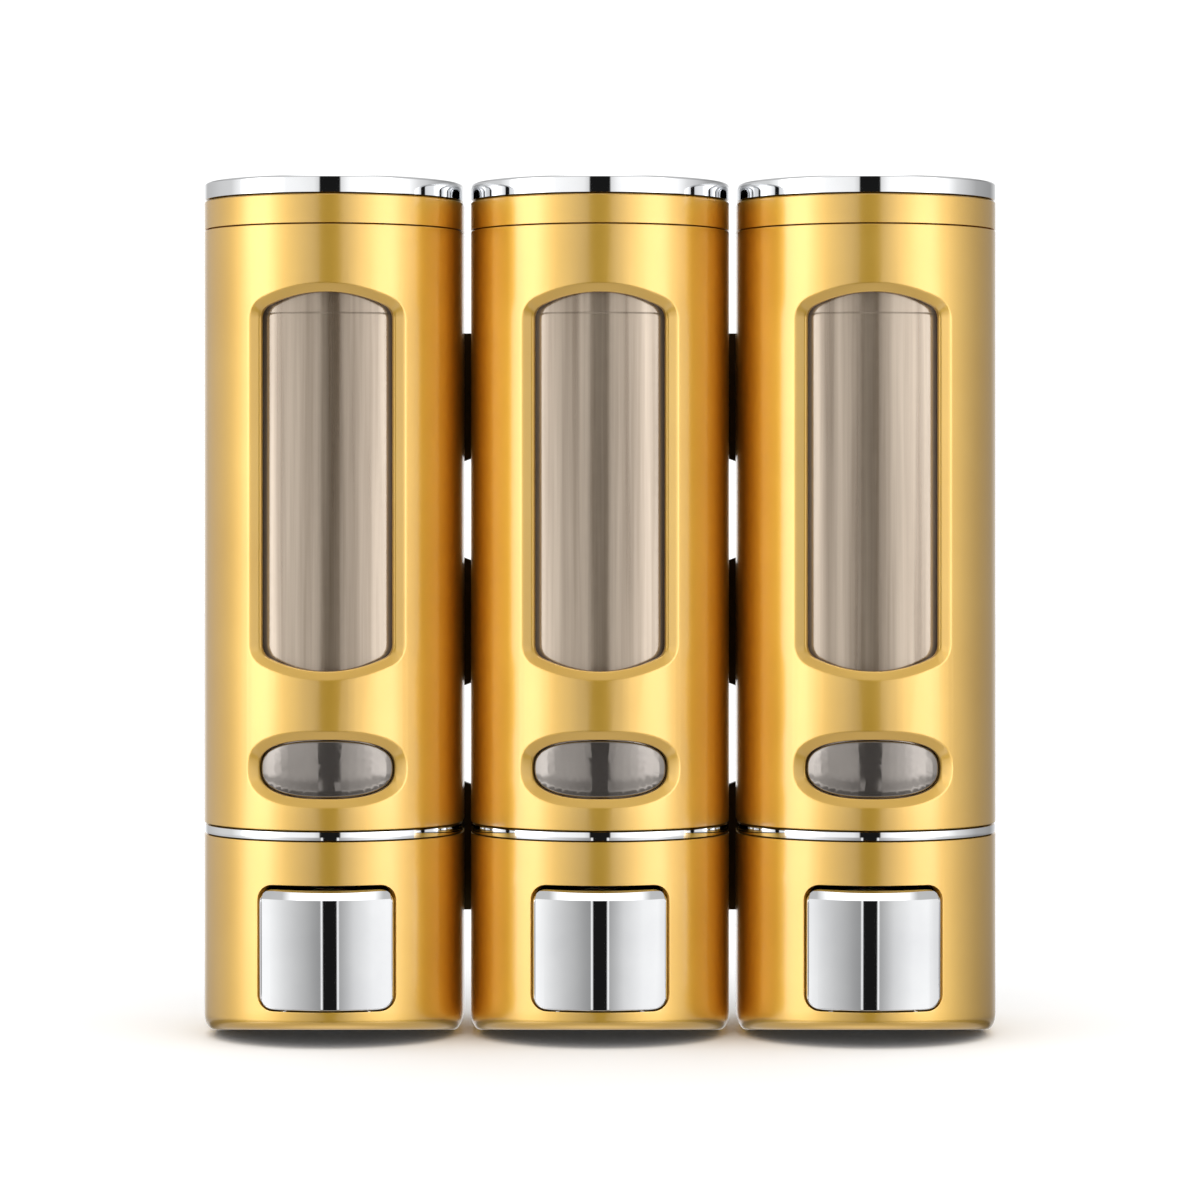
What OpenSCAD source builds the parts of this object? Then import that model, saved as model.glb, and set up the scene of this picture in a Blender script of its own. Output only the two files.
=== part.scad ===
// Three-chamber wall mounted soap dispenser.
// Millimetres, +Z up, fronts face -Y, the wall is the plane Y = 0.
// The origin is the centre of the four wall screw holes, on the wall plane.
// Each unit is drawn about its own axis, with its lowest plane at Z = 0, and then put in place.

/* [Units] */
// Width of one dispenser unit
unit_w = 65.4; // [58:0.2:80]
// Length of the straight run of a unit's sides, behind its round front
side_run = 9.4; // [5:0.2:16]
// Width of the flat strip down a unit's back
back_flat_w = 34; // [30:1:40]
// Gap between two neighbouring units
unit_gap = 2; // [1:0.5:6]
// Distance from the wall to a unit's back
wall_gap = 5; // [4.5:0.5:9]

/* [Heights] */
// Height of the lower pump housing
housing_h = 50.1; // [49:0.1:62]
// Rise of the housing's bottom edge towards the front
front_rise = 4.1; // [1:0.1:4.2]
// Height of the chrome band
band_h = 2.8; // [2:0.1:6]
// Height of the upper casing
casing_h = 149.2; // [124:0.1:200]
// Height of the lid's gold ring
ring_h = 7.4; // [6:0.1:12]
// Height of the lid's chrome cap
cap_h = 4.6; // [4:0.1:8]

/* [Walls] */
// Wall of the casing, housing and lid ring
wall = 2.4; // [2:0.1:3]
// Wall of the bottle
bottle_wall = 1.8; // [1.4:0.1:2.4]
// Gap between the casing and the bottle at the front and sides
bottle_gap = 1; // [0.9:0.1:2]
// Gap behind the bottle, inside the casing's back, where the hooks stand
hook_space = 5.6; // [5.6:0.1:9]
// Clearance of pieces that fit into each other and stay put
fit = 0.2; // [0.1:0.05:0.4]
// Clearance of a turning or sliding piece
run_fit = 0.05; // [0.03:0.01:0.1]

/* [Windows] */
// Width of the tall window's opening
window_w = 34.3; // [26:0.1:38]
// Distance from the casing's lower edge to the tall window
window_below = 39.1; // [33:0.1:50]
// Distance from the tall window to the casing's upper edge
window_above = 16.7; // [12:0.1:30]
// Radius of the tall window's arched top and bottom
window_arch_r = 37; // [30:1:60]
// Corner radius of the tall window
window_corner_r = 3.5; // [2:0.1:5]
// Width of the sight window's opening
sight_w = 35; // [28:0.1:38]
// Height of the sight window's opening
sight_h = 14.5; // [10:0.1:16]
// Height of the sight window's centre above the casing's lower edge
sight_up = 15; // [14:0.1:18]
// Width of the sunk border round each window
border_w = 2.2; // [1:0.1:2.4]
// Depth of the sunk border
border_depth = 1.2; // [0.6:0.1:1.4]

/* [Push button] */
// Width of the button's cut-out
cutout_w = 34.3; // [28:0.1:36]
// Height of the button's cut-out
cutout_h = 31.1; // [30.6:0.1:34]
// Height of the cut-out's lower edge
cutout_up = 8.3; // [8:0.1:9]
// Corner radius of the cut-out
cutout_r = 3.9; // [2:0.1:5]
// Gap beside and below the button
button_gap = 0.6; // [0.5:0.05:1]
// Gap above the button, which rises a little as it swings in
button_top_gap = 1; // [1:0.05:1.5]
// Lean of the button's face at rest
button_lean = 2; // [1:0.5:3]
// Diameter of the hinge pin
pin_d = 3; // [2:0.1:3.2]
// Distance of the hinge pin behind the foremost line of the round front
pin_back = 8.7; // [8.5:0.1:9.5]
// Height of the hinge pin above the cut-out's lower edge
pin_up = 3.1; // [3.1:0.1:4]

/* [Pump] */
// Bore of the pump barrel
barrel_bore = 13; // [10:0.1:13.4]
// Wall of the pump barrel
barrel_wall = 1.8; // [1.4:0.1:1.9]
// Height of the barrel's axis
barrel_up = 29; // [28:0.1:29.2]
// Travel of the plunger
plunger_travel = 3.74; // [3:0.01:3.74]
// Distance of the pump's inlet and outlet behind the unit's axis
port_back = 1.5; // [1:0.1:4]
// Outer diameter of the bottle's neck
neck_d = 15; // [13:0.1:16]
// Bore of the bottle's neck
neck_bore = 8.4; // [6:0.1:9]

/* [Wall bracket] */
// Height of the middle row of cross tabs above a unit's lowest plane
row_up = 102.3; // [100:0.1:104]
// Distance between two rows of cross tabs
row_pitch = 59; // [55:0.5:61]
// Height of a cross tab
tab_h = 33.6; // [24:0.2:36]
// Thickness of the bracket plate
plate_t = 3; // [2.5:0.1:4]
// Width of the plate behind each unit
spine_w = 30; // [28:1:40]
// Diameter of the wall screw holes
screw_hole_d = 4.5; // [4:0.1:5]
// Diameter of the countersinks
screw_head_d = 8.8; // [8:0.1:9.4]

/* [Hidden] */
SIDES = ["left", "middle", "right"];
PIECES = [
    "casing", "bottle", "sight_lens", "trim_band", "pump_housing", "base_cover", "button",
    "button_pin", "pump_barrel", "barrel_cap", "plunger", "plunger_seal", "return_spring",
    "inlet_valve", "nozzle", "lid_cap", "lid_ring", "lid_seal",
];
SHARED = ["wall_bracket", "base_screws", "union_nuts", "neck_gaskets"];
$fn = 96;

// outline of a unit, seen from above
front_r = unit_w / 2;
rear_reach = round(10 * sqrt(front_r * front_r - back_flat_w * back_flat_w / 4)) / 10;
back_y = side_run + rear_reach;
unit_pitch = unit_w + unit_gap;

// heights, from a unit's lowest plane
band_z = housing_h;
casing_z = band_z + band_h;
seam_z = casing_z + casing_h;
cap_z = seam_z + ring_h;
top_z = cap_z + cap_h;
window_h = casing_h - window_below - window_above;
window_z = casing_z + window_below + window_h / 2;
sight_z = casing_z + sight_up;

// housing
deck_t = 2.6;
deck_z = housing_h - deck_t;
spigot_h = 6;
spigot_t = 1.6;
cover_z = 4.2;
cover_t = 2;
cover_y = 17;
post_x = 18;
post_r = 3.4;
screw_r = 1.4;
screw_l = 12;
screw_head_r = 2.8;
screw_head_t = 1.8;
well_t = 2;
well_end_y = -19;

// bottle and lid
bottle_in = wall + bottle_gap;
bottle_rear = wall + hook_space;
bottle_lift = 0.6;
bottle_z = housing_h + spigot_h + bottle_lift;
bottle_top_gap = 0.8;
bottle_top_z = seam_z - bottle_top_gap;
bottle_floor = 2.4;
sight_flange = 1.8;
sight_flange_t = 0.8;
sight_sink = 0.4;
lid_spigot_gap = 0.3;
lid_spigot_in = bottle_in + bottle_wall + lid_spigot_gap;
lid_spigot_rear = bottle_rear + bottle_wall + lid_spigot_gap;
lid_spigot_t = 1.6;
lid_spigot_h = 8.6;
lid_web_z = seam_z + 2;
lid_web_t = 2;
lid_boss_h = 2.2;
seal_groove = 0.8;
seal_t = 2;
seal_up = 3;
seal_clear = 0.1;
lid_web_in = wall / 2;

// button and its hinge
cutout_mid_z = cutout_up + cutout_h / 2;
pin_y = pin_back - front_r;
pin_z = cutout_up + pin_up;
button_w = cutout_w - 2 * button_gap;
button_h = cutout_h - button_gap - button_top_gap;
button_mid_z = cutout_up + button_gap + button_h / 2;
button_proud = 0.4;
button_r = front_r + button_proud;
button_t = 1.8;
button_end_y = -22.8;
bevel = 2.2;
hub_r = 2.5;
hub_l = 4;
hub_in = 1.6;
striker_r = 3.5;
striker_y = -23.9;

// pump
head_gap = 0.3;
head_y = striker_y + head_gap;
head_t = 2;
head_r = 4.6;
stem_r = 2.5;
cap_front_y = -14;
cap_front_t = 2;
cap_skirt_l = 2.4;
cap_t = 1.5;
barrel_r = barrel_bore / 2 + barrel_wall;
barrel_front_y = cap_front_y + cap_front_t;
barrel_l = 20;
piston_rest_gap = 0.4;
piston_y = barrel_front_y + piston_rest_gap;
piston_l = 5;
piston_gap = 0.1;
ring_t = 2;
ring_y = piston_y + (piston_l - ring_t) / 2;
ring_depth = 1.6;
spring_r = 4;
spring_wire = 0.8;
spring_turns = 4;

// bottle neck, union nut and inlet
gasket_t = 1;
neck_drop = 4.3;
nut_wall = 3;
valve_disc_z = 3.6;
valve_disc_t = 1.6;
valve_stem_r = 1.2;
valve_stem_l = 2.9;
flange_t = 2;
neck_end_z = deck_z - neck_drop;
gasket_z = neck_end_z - gasket_t;
flange_z = gasket_z - flange_t;
nut_lip_t = 1.8;
nut_z = flange_z - nut_lip_t;
nut_r = neck_d / 2 + nut_wall;
pipe_r = 5;
pipe_bore_r = 3.4;
outlet_r = 4.5;
outlet_bore_r = 2.5;
outlet_end_z = 5;
nozzle_r = 6.2;
nozzle_z = 1;
nozzle_top_z = 9.2;
nozzle_tip_r = 2.6;
nozzle_hole_r = 1.1;

// bracket
hook_w = 14;
hook_t = 2.4;
hook_tongue_t = 2;
hook_gap = 0.4;
hook_tongue_h = 7;
hook_top = 1.2;
slot_h = 11;
slot_side = 0.5;
tab_step = 1.5;
tab_slope_w = 4;

// points of an arc about (x, y), from angle a to angle b
function arc(x, y, r, a, b, n) =
    [for (i = [0:n]) [x + r * cos(a + (b - a) * i / n), y + r * sin(a + (b - a) * i / n)]];

// a rectangle with round corners, about the origin
function round_box(w, h, r) = concat(
    arc(w / 2 - r, h / 2 - r, r, 0, 90, 6),
    arc(r - w / 2, h / 2 - r, r, 90, 180, 6),
    arc(r - w / 2, r - h / 2, r, 180, 270, 6),
    arc(w / 2 - r, r - h / 2, r, 270, 360, 6)
);

// a tall window with arched ends and small corners, about the origin
function arched_box(w, h, arch, r) =
    let (
        corner_x = w / 2 - r,
        arch_z = h / 2 - arch,
        corner_z = arch_z + sqrt((arch - r) * (arch - r) - corner_x * corner_x),
        turn = asin(corner_x / (arch - r))
    )
    concat(
        arc(corner_x, corner_z, r, 0, 90 - turn, 5),
        arc(0, arch_z, arch, 90 - turn, 90 + turn, 12),
        arc(-corner_x, corner_z, r, 90 + turn, 180, 5),
        arc(-corner_x, -corner_z, r, 180, 270 - turn, 5),
        arc(0, -arch_z, arch, 270 - turn, 270 + turn, 12),
        arc(corner_x, -corner_z, r, 270 + turn, 360, 5)
    );

// a long oval with flat middles, about the origin
function flat_oval(w, h) = [
    for (i = [0:59])
        let (c = cos(6 * i), s = sin(6 * i))
            [w / 2 * sign(c) * pow(abs(c), 0.75), h / 2 * sign(s) * pow(abs(s), 0.75)]
];

// outline of a unit, set in by one distance at the front and sides and another at the back
module plan(in = 0, rear = 0) {
    r = front_r - in;
    intersection() {
        union() {
            circle(r);
            translate([-r, 0]) square([2 * r, side_run]);
            translate([0, side_run]) circle(r);
        }
        translate([-unit_w, -unit_w]) square([2 * unit_w, unit_w + back_y - rear]);
    }
}

// a solid of a unit's outline between two heights
module block(z0, z1, in = 0, rear = 0) {
    translate([0, 0, z0]) linear_extrude(z1 - z0) plan(in, rear);
}

// a wall that follows a unit's outline between two heights
module shell(z0, z1, in, rear, t) {
    translate([0, 0, z0]) linear_extrude(z1 - z0) difference() {
        plan(in, rear);
        plan(in + t, rear + t);
    }
}

// an outline in X and Z, pushed through from one Y to another at a height
module through(z, y0, y1) {
    translate([0, y1, z]) rotate([90, 0, 0]) linear_extrude(y1 - y0) children();
}

// a round bar along Y
module bar_y(r, y0, y1, z = barrel_up) {
    translate([0, y1, z]) rotate([90, 0, 0]) cylinder(h = y1 - y0, r = r);
}

// a round bar along X, about the middle plane
module bar_x(r, l, y, z) {
    translate([-l / 2, y, z]) rotate([0, 90, 0]) cylinder(h = l, r = r);
}

// a round bar along Z over the pump's port
module port(r, z0, z1) {
    translate([0, port_back, z0]) cylinder(h = z1 - z0, r = r);
}

// a round washer or sleeve over the pump's port
module port_ring(r, hole_r, z0, z1) {
    difference() {
        port(r, z0, z1);
        port(hole_r, z0 - 1, z1 + 1);
    }
}

// heights of the hooks, midway between the rows of tabs
function hook_heights() = [row_up - row_pitch / 2, row_up + row_pitch / 2];

// cuts an outline through the front wall, or only down to a depth when one is given
module front_cut(z, depth = 0) {
    difference() {
        through(z, -front_r - 1, -front_r / 3) children();
        if (depth > 0)
            translate([0, 0, casing_z - 1]) cylinder(h = casing_h + 2, r = front_r - depth);
    }
}

module window_outline(extra) {
    polygon(arched_box(
        window_w + 2 * extra, window_h + 2 * extra, window_arch_r + extra, window_corner_r + extra
    ));
}

module sight_outline(extra) {
    polygon(flat_oval(sight_w + 2 * extra, sight_h + 2 * extra));
}

// upper gold shell, open at both ends
module casing() {
    color("goldenrod") difference() {
        shell(casing_z, seam_z, 0, 0, wall);
        front_cut(window_z) window_outline(0);
        front_cut(window_z, border_depth) window_outline(border_w);
        front_cut(sight_z) sight_outline(0);
        front_cut(sight_z, border_depth) sight_outline(border_w);
        for (z = hook_heights())
            translate([-hook_w / 2 - slot_side, back_y - wall - 1, z + hook_top - slot_h])
                cube([hook_w + 2 * slot_side, wall + 2, slot_h]);
    }
}

// smoked lens in the sight window, with a thin flange behind the casing's wall
module sight_lens() {
    lens_back = front_r - wall - sight_flange_t;
    color("dimgray") difference() {
        intersection() {
            union() {
                through(sight_z, -front_r, -front_r / 3) sight_outline(-fit);
                difference() {
                    through(sight_z, -front_r, -front_r / 3) sight_outline(sight_flange);
                    cylinder_shell(front_r - wall, front_r + 1);
                }
            }
            cylinder_solid(front_r - border_depth - sight_sink);
        }
        cylinder_solid(lens_back);
    }
}

// a tall cylinder about the unit's axis, through the casing
module cylinder_solid(r) {
    translate([0, 0, casing_z]) cylinder(h = casing_h, r = r);
}

// a tall pipe about the unit's axis, through the casing
module cylinder_shell(r_in, r_out) {
    difference() {
        cylinder_solid(r_out);
        cylinder_solid(r_in);
    }
}

// smoked bottle, open at the top, with its neck through the deck
module bottle() {
    color("rosybrown") difference() {
        union() {
            block(bottle_z, bottle_top_z, bottle_in, bottle_rear);
            port(neck_d / 2, neck_end_z, bottle_z + 1);
        }
        block(
            bottle_z + bottle_floor, bottle_top_z + 1,
            bottle_in + bottle_wall, bottle_rear + bottle_wall
        );
        port(neck_bore / 2, neck_end_z - 1, bottle_z + bottle_floor + 1);
    }
}

// chrome band between the housing and the casing
module trim_band() {
    color("silver") shell(band_z, casing_z, 0, 0, wall);
}

// the wedge under the housing's front, where the bottom edge rises
module front_wedge() {
    reach = front_r + 5;
    translate([-unit_w, 0, 0]) rotate([90, 0, 90]) linear_extrude(2 * unit_w)
        polygon([[0, 0], [0, -1], [-reach, -1], [-reach, front_rise * reach / front_r]]);
}

module cover_screw_places() {
    for (x = [-post_x, post_x]) translate([x, cover_y, 0]) children();
}

// lower gold shell: deck on top, a well round the button, posts for the cover's screws
module pump_housing() {
    color("goldenrod") difference() {
        union() {
            difference() {
                block(0, housing_h);
                block(-1, deck_z, wall, wall);
            }
            shell(deck_z, housing_h + spigot_h, wall + fit, wall + fit, spigot_t);
            intersection() {
                through(cutout_mid_z, -front_r, well_end_y)
                    polygon(round_box(cutout_w + 2 * well_t, cutout_h + 2 * well_t,
                        cutout_r + well_t));
                block(0, housing_h);
            }
            cover_screw_places() translate([0, 0, cover_z + cover_t])
                cylinder(h = deck_z + 1 - cover_z - cover_t, r = post_r);
        }
        through(cutout_mid_z, -front_r - 1, well_end_y + 1)
            polygon(round_box(cutout_w, cutout_h, cutout_r));
        bar_x(pin_d / 2, cutout_w + 2 * well_t, pin_y, pin_z);
        port(neck_d / 2 + fit, deck_z - 1, housing_h + 1);
        front_wedge();
        cover_screw_places() cylinder(h = cover_z + screw_l + 1, r = screw_r);
    }
}

// plate that closes the housing from below
module base_cover() {
    color("dimgray") difference() {
        block(cover_z, cover_z + cover_t, wall + fit, wall + fit);
        port(nozzle_r + fit, 0, cover_z + cover_t + 1);
        cover_screw_places() cylinder(h = housing_h, r = screw_r + fit);
    }
}

// the two screws of one base cover
module cover_screws() {
    cover_screw_places() {
        translate([0, 0, cover_z - screw_head_t]) cylinder(h = screw_head_t, r = screw_head_r);
        translate([0, 0, cover_z - screw_head_t / 2]) cylinder(h = screw_l, r = screw_r);
    }
}

// a solid of the button's outline, set in, from one Y to another
module button_block(in, y0, y1) {
    through(button_mid_z, y0, y1)
        polygon(round_box(button_w - 2 * in, button_h - 2 * in, cutout_r - button_gap));
}

// chrome push button: a curved cap with a skirt, hinge hubs and a striker
module button() {
    hub_x = button_w / 2 - hub_in - hub_l / 2;
    color("silver") difference() {
        union() {
            translate([0, pin_y, pin_z]) rotate([button_lean, 0, 0]) translate([0, -pin_y, -pin_z])
                difference() {
                    intersection() {
                        button_block(0, -front_r - 2, button_end_y);
                        cylinder(h = housing_h, r = button_r);
                    }
                    intersection() {
                        button_block(button_t, -front_r - 2, button_end_y + 1);
                        translate([0, 0, -1]) cylinder(h = housing_h + 2, r = button_r - button_t);
                    }
                    button_bevel();
                }
            for (x = [-hub_x, hub_x]) translate([x, 0, 0]) bar_x(hub_r, hub_l, pin_y, pin_z);
            bar_y(striker_r, -button_r + button_t / 2, striker_y - striker_r);
            translate([0, striker_y - striker_r, barrel_up]) sphere(r = striker_r);
        }
        bar_x(pin_d / 2 + run_fit, unit_w, pin_y, pin_z);
    }
}

// the slope along the button's top edge
module button_bevel() {
    top = button_mid_z + button_h / 2;
    translate([-unit_w / 2, 0, 0]) rotate([90, 0, 90]) linear_extrude(unit_w) polygon([
        [-button_r - 1, top + 1],
        [-button_r - 1, top - bevel - 1],
        [-button_r, top - bevel],
        [-button_r + bevel, top],
        [-button_r + bevel + 1, top + 1]
    ]);
}

module button_pin() {
    color("gray") bar_x(pin_d / 2, cutout_w + 2 * well_t - 2 * fit, pin_y, pin_z);
}

// pump body: a blind barrel along Y with an inlet pipe above and an outlet pipe below
module pump_barrel() {
    color("whitesmoke") difference() {
        union() {
            bar_y(barrel_r, barrel_front_y, barrel_front_y + barrel_l);
            port(pipe_r, barrel_up, gasket_z - flange_t / 2);
            port(neck_d / 2 - run_fit, flange_z, gasket_z);
            port(outlet_r, outlet_end_z, barrel_up);
        }
        bar_y(barrel_bore / 2, barrel_front_y - 1, barrel_front_y + barrel_l - barrel_wall);
        port(pipe_bore_r, barrel_up, gasket_z + 1);
        port(outlet_bore_r, 0, barrel_up);
    }
}

// screwed cap that keeps the plunger in the barrel
module barrel_cap() {
    color("whitesmoke") difference() {
        bar_y(barrel_r + fit + cap_t, cap_front_y, barrel_front_y + cap_skirt_l);
        bar_y(barrel_r + fit, barrel_front_y, barrel_front_y + cap_skirt_l + 1);
        bar_y(stem_r + run_fit, cap_front_y - 1, barrel_front_y + 1);
    }
}

// plunger: a head for the spring, a stem, and a piston with a groove for its ring
module plunger() {
    color("ivory") difference() {
        union() {
            bar_y(head_r, head_y, head_y + head_t);
            bar_y(stem_r, head_y + head_t / 2, piston_y + piston_l / 2);
            bar_y(barrel_bore / 2 - piston_gap, piston_y, piston_y + piston_l);
        }
        difference() {
            bar_y(barrel_bore / 2, ring_y, ring_y + ring_t);
            bar_y(barrel_bore / 2 - ring_depth, ring_y - 1, ring_y + ring_t + 1);
        }
    }
}

module plunger_seal() {
    color("darkslategray") difference() {
        bar_y(barrel_bore / 2 - run_fit, ring_y, ring_y + ring_t);
        bar_y(barrel_bore / 2 - ring_depth, ring_y - 1, ring_y + ring_t + 1);
    }
}

// return spring as a stack of rings, one for each turn
module return_spring() {
    spring_y = head_y + head_t;
    spring_l = cap_front_y - spring_y;
    step = (spring_l - spring_wire) / (spring_turns - 1);
    color("gray") for (i = [0:spring_turns - 1])
        translate([0, spring_y + spring_wire / 2 + i * step, barrel_up]) rotate([90, 0, 0])
            rotate_extrude() translate([spring_r - spring_wire / 2, 0]) circle(d = spring_wire);
}

// soft valve in the inlet pipe
module inlet_valve() {
    disc_z = gasket_z - valve_disc_z;
    color("mistyrose") {
        port(pipe_bore_r, disc_z, disc_z + valve_disc_t);
        port(valve_stem_r, disc_z - valve_stem_l, disc_z + valve_disc_t / 2);
    }
}

// soft nozzle on the outlet pipe, with a narrow tip
module nozzle() {
    color("dimgray") difference() {
        union() {
            port(nozzle_r, outlet_end_z - 1, nozzle_top_z);
            translate([0, port_back, nozzle_z])
                cylinder(h = outlet_end_z - 1 - nozzle_z, r1 = nozzle_tip_r, r2 = nozzle_r);
        }
        port(outlet_r + run_fit, outlet_end_z, nozzle_top_z + 1);
        port(nozzle_hole_r, 0, outlet_end_z + 1);
    }
}

// chrome top of the lid, a shallow cup over the ring's boss
module lid_cap() {
    color("silver") difference() {
        block(cap_z, top_z);
        block(cap_z - 1, cap_z + lid_boss_h + fit, wall - fit, wall - fit);
    }
}

// gold ring of the lid, with a boss for the cap and a spigot into the bottle's mouth
module lid_ring() {
    spigot_z = lid_web_z - lid_spigot_h;
    ring_inner = lid_spigot_in - seal_groove;
    color("goldenrod") difference() {
        union() {
            shell(seam_z, cap_z, 0, 0, wall);
            block(lid_web_z, lid_web_z + lid_web_t, lid_web_in, lid_web_in);
            shell(lid_web_z, cap_z + lid_boss_h, wall, wall, lid_spigot_t);
            shell(spigot_z, lid_web_z + lid_web_t / 2, lid_spigot_in, lid_spigot_rear,
                lid_spigot_t);
        }
        shell(spigot_z + seal_up, spigot_z + seal_up + seal_t, lid_spigot_in - 1,
            lid_spigot_rear - 1, 1 + seal_groove);
    }
}

// soft ring in the spigot's groove, just clear of the bottle's wall
module lid_seal() {
    seal_z = lid_web_z - lid_spigot_h + seal_up;
    reach = lid_spigot_gap - seal_clear;
    color("darkslategray") shell(seal_z, seal_z + seal_t, lid_spigot_in - reach,
        lid_spigot_rear - reach, seal_groove + reach);
}

// nut that holds the bottle's neck and the pump's inlet together under the deck
module union_nut() {
    color("whitesmoke") difference() {
        translate([0, port_back, nut_z]) cylinder(h = deck_z - nut_z, r = nut_r, $fn = 8);
        port(neck_d / 2 + run_fit, flange_z, deck_z + 1);
        port(pipe_r + fit, nut_z - 1, flange_z + 1);
    }
}

module neck_gasket() {
    color("darkslategray") port_ring(neck_d / 2 - fit, neck_bore / 2, gasket_z, neck_end_z);
}

// outline of the wall bracket: a spine behind each unit and three rows of cross tabs
module bracket_outline() {
    low = -row_pitch - tab_h / 2;
    for (x = [-unit_pitch, 0, unit_pitch])
        translate([x - spine_w / 2, low]) square([spine_w, -2 * low]);
    for (side = [-1, 1]) mirrored(side) for (row = [-1, 0, 1]) translate([0, row * row_pitch])
        polygon(tab_points(row));
}

// an outline as drawn, or mirrored for the other side
module mirrored(side) {
    if (side < 0) mirror([1, 0]) children();
    else children();
}

// one cross tab, stepped down towards the middle unit except along the bracket's ends
function tab_points(row) =
    let (
        x0 = spine_w / 2 - 1,
        x1 = unit_pitch - spine_w / 2 + 1,
        slope_x = unit_pitch / 2 - tab_slope_w / 2,
        high = tab_h / 2,
        up = row == 1 ? 0 : tab_step,
        down = row == -1 ? 0 : tab_step
    ) [
        [x0, high - up], [slope_x, high - up], [slope_x + tab_slope_w, high], [x1, high],
        [x1, -high], [slope_x + tab_slope_w, -high], [slope_x, down - high], [x0, down - high]
    ];

// wall bracket: plate with countersunk screw holes and two hooks for each unit
module wall_bracket() {
    sink = (screw_head_d - screw_hole_d) / 2;
    color("black") difference() {
        union() {
            through(0, -plate_t, 0) bracket_outline();
            for (x = [-unit_pitch, 0, unit_pitch]) for (z = hook_heights())
                translate([x, -wall_gap, z - row_up]) hook();
        }
        for (x = [-unit_pitch, unit_pitch]) for (z = [-row_pitch, row_pitch])
            translate([x, 0, z]) rotate([90, 0, 0]) {
                translate([0, 0, -1]) cylinder(h = plate_t + 2, r = screw_hole_d / 2);
                translate([0, 0, plate_t - sink])
                    cylinder(h = sink, r1 = screw_hole_d / 2, r2 = screw_head_d / 2);
                translate([0, 0, plate_t]) cylinder(h = 1, r = screw_head_d / 2);
            }
    }
}

// a hook: a pad that spaces the unit off the plate, an arm through the slot, and a tongue
module hook() {
    arm_z = hook_top - hook_t;
    inside = wall + hook_gap;
    translate([-hook_w / 2, 0, -hook_w / 2])
        cube([hook_w, wall_gap - plate_t / 2, hook_w]);
    translate([-hook_w / 2, -inside - hook_tongue_t, arm_z])
        cube([hook_w, inside + hook_tongue_t + 1, hook_t]);
    translate([-hook_w / 2, -inside - hook_tongue_t, arm_z])
        cube([hook_w, hook_tongue_t, hook_t + hook_tongue_h]);
}

// puts a unit in its place: 0 left, 1 middle, 2 right
module unit(i) {
    translate([(i - 1) * unit_pitch, -wall_gap - back_y, -row_up]) children();
}

module base_screws() {
    color("silver") for (i = [0:2]) unit(i) cover_screws();
}

module union_nuts() {
    for (i = [0:2]) unit(i) union_nut();
}

module neck_gaskets() {
    for (i = [0:2]) unit(i) neck_gasket();
}

wall_bracket();
base_screws();
union_nuts();
neck_gaskets();
for (i = [0:2]) {
    side = SIDES[i];
    unit(i) casing();
    unit(i) bottle();
    unit(i) sight_lens();
    unit(i) trim_band();
    unit(i) pump_housing();
    unit(i) base_cover();
    unit(i) button();
    unit(i) button_pin();
    unit(i) pump_barrel();
    unit(i) barrel_cap();
    unit(i) plunger();
    unit(i) plunger_seal();
    unit(i) return_spring();
    unit(i) inlet_valve();
    unit(i) nozzle();
    unit(i) lid_cap();
    unit(i) lid_ring();
    unit(i) lid_seal();
}
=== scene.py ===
"""Three-chamber wall mounted soap dispenser.

Three gold units with chrome lids, bands and push buttons hang on one black bracket. Every piece is
drawn in millimetres about its unit's axis, or about the middle of the bracket, and is set in its
place in metres when it is finished.
"""
from math import asin, atan2, cos, pi, radians, sin, sqrt

import bmesh
import bpy
from mathutils import Matrix, Vector


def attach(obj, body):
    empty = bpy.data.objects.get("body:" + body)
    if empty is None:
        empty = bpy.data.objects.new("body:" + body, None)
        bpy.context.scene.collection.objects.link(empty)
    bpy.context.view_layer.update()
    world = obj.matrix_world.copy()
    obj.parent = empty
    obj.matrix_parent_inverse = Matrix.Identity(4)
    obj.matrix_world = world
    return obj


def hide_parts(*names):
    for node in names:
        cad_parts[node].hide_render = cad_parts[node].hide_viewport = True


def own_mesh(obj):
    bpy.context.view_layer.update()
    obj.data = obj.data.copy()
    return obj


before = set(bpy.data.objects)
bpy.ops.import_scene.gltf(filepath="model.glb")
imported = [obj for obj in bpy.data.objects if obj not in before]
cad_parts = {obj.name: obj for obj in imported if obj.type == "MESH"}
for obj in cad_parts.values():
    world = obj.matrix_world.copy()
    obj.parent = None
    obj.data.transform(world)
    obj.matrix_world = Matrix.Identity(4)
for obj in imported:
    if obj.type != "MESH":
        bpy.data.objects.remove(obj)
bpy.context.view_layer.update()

scene = bpy.context.scene

# ---------------------------------------------------------------------------------------------
# Wall bracket
# One injection-moulded plate of black-brown ABS: a spine behind each unit, three rows of cross
# tabs with slanted ends, four countersunk screw holes and two hooks for each unit.
# ---------------------------------------------------------------------------------------------
PITCH = 67.4
SPINE_HALF = 15
ROW_PITCH = 59
TAB_HALF = 16.8
TAB_STEP = 1.5
SLANT_FROM, SLANT_TO = 31.7, 35.7
PLATE_T = 3
HOLE_R, HEAD_R, HOLE_NECK = 2.25, 4.4, 0.85
HOOK_Z = ROW_PITCH / 2
HOOK_HALF, HOOK_REACH, HOOK_T = 7, 9.8, 1.2
FACETS = 48


def only(piece):
    """selects one piece and nothing else"""
    bpy.ops.object.select_all(action="DESELECT")
    piece.select_set(True)
    bpy.context.view_layer.objects.active = piece


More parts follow.
